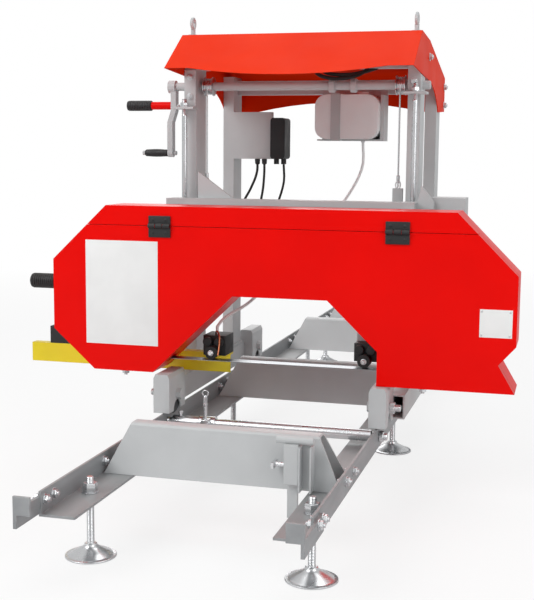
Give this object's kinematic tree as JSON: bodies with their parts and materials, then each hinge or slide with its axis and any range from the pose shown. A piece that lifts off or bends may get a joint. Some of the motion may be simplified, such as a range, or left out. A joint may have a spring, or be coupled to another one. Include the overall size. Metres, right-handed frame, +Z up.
{
  "type": "portable band sawmill",
  "caption": "Band saw head in a red cover that rises on guide rods in a wheeled frame, and rolls along a low log track on levelling feet",
  "frame": {"origin": "Centre of the bounding box on the floor", "axes": "X across the track, Y along the track away from the saw cover, Z up"},
  "size_m": [1.285, 3.876, 1.1805],
  "materials": {
    "dark_steel": "rolled steel angle",
    "grey_powder": "grey powder coat",
    "zinc": "zinc plate",
    "cast_iron": "dark iron",
    "roof_paint": "orange-red gloss paint",
    "red_paint": "red gloss paint",
    "black_plastic": "black moulded plastic",
    "white_plastic": "translucent white plastic",
    "yellow_paint": "yellow paint",
    "blade_steel": "bright spring steel",
    "rubber": "black rubber"
  },
  "bodies": {
    "track": {"left_rail": "dark_steel", "right_rail": "dark_steel", "log_bunk_1": "grey_powder", "log_bunk_2": "grey_powder", "log_bunk_3": "grey_powder", "log_bunk_4": "grey_powder", "log_bunk_5": "grey_powder", "clamp_rod": "zinc", "foot_1": "zinc", "foot_2": "zinc", "foot_3": "zinc", "foot_4": "zinc", "foot_5": "zinc", "foot_6": "zinc", "foot_7": "zinc", "foot_8": "zinc", "foot_9": "zinc", "foot_10": "zinc"},
    "clamp": {"clamp_slider": "zinc"},
    "clamp_wing": {"clamp_screw": "zinc"},
    "dog": {"dog_sleeve": "zinc"},
    "dog_bolt": {"dog_pin": "zinc"},
    "carriage": {"left_side_frame": "grey_powder", "right_side_frame": "grey_powder", "front_portal": "grey_powder", "rear_portal": "grey_powder", "roof": "roof_paint", "left_guide_rod": "zinc", "right_guide_rod": "zinc", "left_rope": "zinc", "right_rope": "zinc", "tank": "white_plastic", "control_box": "black_plastic", "tank_hose": "white_plastic", "motor_lead": "rubber"},
    "wheel_front_left": {"front_left_wheel": "cast_iron"},
    "wheel_front_right": {"front_right_wheel": "cast_iron"},
    "wheel_rear_left": {"rear_left_wheel": "cast_iron"},
    "wheel_rear_right": {"rear_right_wheel": "cast_iron"},
    "winch": {"winch_shaft": "zinc", "crank_arm": "cast_iron"},
    "grip": {"crank_grip": "black_plastic"},
    "lock": {"lock_handle": "red_paint"},
    "knob": {"switch_knob": "red_paint"},
    "head": {"head_frame": "grey_powder", "casing": "red_paint", "motor": "cast_iron", "drive_belt": "rubber", "saw_blade": "blade_steel"},
    "door": {"cover_door": "red_paint"},
    "latch_left": {"left_latch": "black_plastic"},
    "latch_right": {"right_latch": "black_plastic"},
    "drive": {"drive_wheel": "cast_iron"},
    "motor_drive": {"motor_pulley": "cast_iron"},
    "slide": {"idler_carrier": "cast_iron"},
    "idler": {"idler_wheel": "cast_iron"},
    "tension": {"tension_handle": "black_plastic"},
    "arm": {"guide_arm": "yellow_paint"},
    "roller_left": {"left_guide_roller": "black_plastic"},
    "roller_right": {"right_guide_roller": "black_plastic"}
  },
  "joints": [
    {"name": "clamp_raise", "type": "slide", "parent": "track", "child": "clamp", "axis": [0, 0, 1], "range_m": [0, 0.08]},
    {"name": "clamp_turn", "type": "hinge", "parent": "clamp", "child": "clamp_wing", "pos_m": [0.2202, -1.567, 0.19], "axis": [1, 0, 0], "continuous": true},
    {"name": "dog_move", "type": "slide", "parent": "track", "child": "dog", "axis": [1, 0, 0], "range_m": [0, 0.36]},
    {"name": "dog_lift", "type": "slide", "parent": "dog", "child": "dog_bolt", "axis": [0, 0, 1], "range_m": [0, 0.05]},
    {"name": "carriage_roll", "type": "slide", "parent": "track", "child": "carriage", "axis": [0, 1, 0], "range_m": [-0.68, 2.2]},
    {"name": "front_left_spin", "type": "hinge", "parent": "carriage", "child": "wheel_front_left", "pos_m": [-0.208, -1.1235, 0.222], "axis": [1, 0, 0], "continuous": true},
    {"name": "front_right_spin", "type": "hinge", "parent": "carriage", "child": "wheel_front_right", "pos_m": [0.327, -1.1235, 0.222], "axis": [1, 0, 0], "continuous": true},
    {"name": "rear_left_spin", "type": "hinge", "parent": "carriage", "child": "wheel_rear_left", "pos_m": [-0.208, -0.3805, 0.222], "axis": [1, 0, 0], "continuous": true},
    {"name": "rear_right_spin", "type": "hinge", "parent": "carriage", "child": "wheel_rear_right", "pos_m": [0.327, -0.3805, 0.222], "axis": [1, 0, 0], "continuous": true},
    {"name": "head_lift", "type": "slide", "parent": "carriage", "child": "head", "axis": [0, 0, 1], "range_m": [0, 0.2], "deforming": ["left_rope", "right_rope", "tank_hose", "motor_lead"]},
    {"name": "winch_turn", "type": "hinge", "parent": "carriage", "child": "winch", "pos_m": [0.0595, -0.841, 1], "axis": [1, 0, 0], "range_deg": [-700, 0]},
    {"name": "grip_spin", "type": "hinge", "parent": "winch", "child": "grip", "pos_m": [-0.3485, -0.841, 0.823], "axis": [1, 0, 0], "continuous": true},
    {"name": "lock_pull", "type": "slide", "parent": "winch", "child": "lock", "axis": [-1, 0, 0], "range_m": [0, 0.02]},
    {"name": "knob_turn", "type": "hinge", "parent": "carriage", "child": "knob", "pos_m": [-0.08435, -0.481, 0.903], "axis": [0, 1, 0], "range_deg": [0, 90]},
    {"name": "door_swing", "type": "hinge", "parent": "head", "child": "door", "pos_m": [0.0595, -1.167, 0.646], "axis": [1, 0, 0], "range_deg": [-100, 0]},
    {"name": "left_latch_turn", "type": "hinge", "parent": "door", "child": "latch_left", "pos_m": [-0.3175, -1.149, 0.275], "axis": [0, 0, 1], "range_deg": [0, 90]},
    {"name": "right_latch_turn", "type": "hinge", "parent": "door", "child": "latch_right", "pos_m": [0.4315, -1.149, 0.275], "axis": [0, 0, 1], "range_deg": [0, 90]},
    {"name": "drive_spin", "type": "hinge", "parent": "head", "child": "drive", "pos_m": [0.4535, -1.101, 0.481], "axis": [0, 1, 0], "continuous": true},
    {"name": "motor_spin", "type": "hinge", "parent": "head", "child": "motor_drive", "pos_m": [0.4535, -0.998, 0.59], "axis": [0, 1, 0], "continuous": true},
    {"name": "idler_slide", "type": "slide", "parent": "head", "child": "slide", "axis": [1, 0, 0], "range_m": [0, 0.0094]},
    {"name": "idler_spin", "type": "hinge", "parent": "slide", "child": "idler", "pos_m": [-0.3065, -1.101, 0.481], "axis": [0, 1, 0], "continuous": true},
    {"name": "tension_turn", "type": "hinge", "parent": "head", "child": "tension", "pos_m": [-0.6005, -1.015, 0.481], "axis": [1, 0, 0], "range_deg": [0, 1700]},
    {"name": "arm_slide", "type": "slide", "parent": "head", "child": "arm", "axis": [1, 0, 0], "range_m": [0, 0.14]},
    {"name": "left_roller_spin", "type": "hinge", "parent": "arm", "child": "roller_left", "pos_m": [-0.1065, -1.092, 0.3267], "axis": [0, 1, 0], "continuous": true},
    {"name": "right_roller_spin", "type": "hinge", "parent": "head", "child": "roller_right", "pos_m": [0.2815, -1.092, 0.3267], "axis": [0, 1, 0], "continuous": true}
  ],
  "couplings": [
    {"joint": "front_left_spin", "follows": "carriage_roll", "rad_per_m": -23.42},
    {"joint": "front_right_spin", "follows": "carriage_roll", "rad_per_m": -23.42},
    {"joint": "rear_left_spin", "follows": "carriage_roll", "rad_per_m": -23.42},
    {"joint": "rear_right_spin", "follows": "carriage_roll", "rad_per_m": -23.42},
    {"joint": "winch_turn", "follows": "head_lift", "rad_per_m": -51.28},
    {"joint": "motor_spin", "follows": "drive_spin", "ratio": 1.7647},
    {"joint": "idler_spin", "follows": "drive_spin", "ratio": 1},
    {"joint": "tension_turn", "follows": "idler_slide", "rad_per_m": 3141.6}
  ]
}
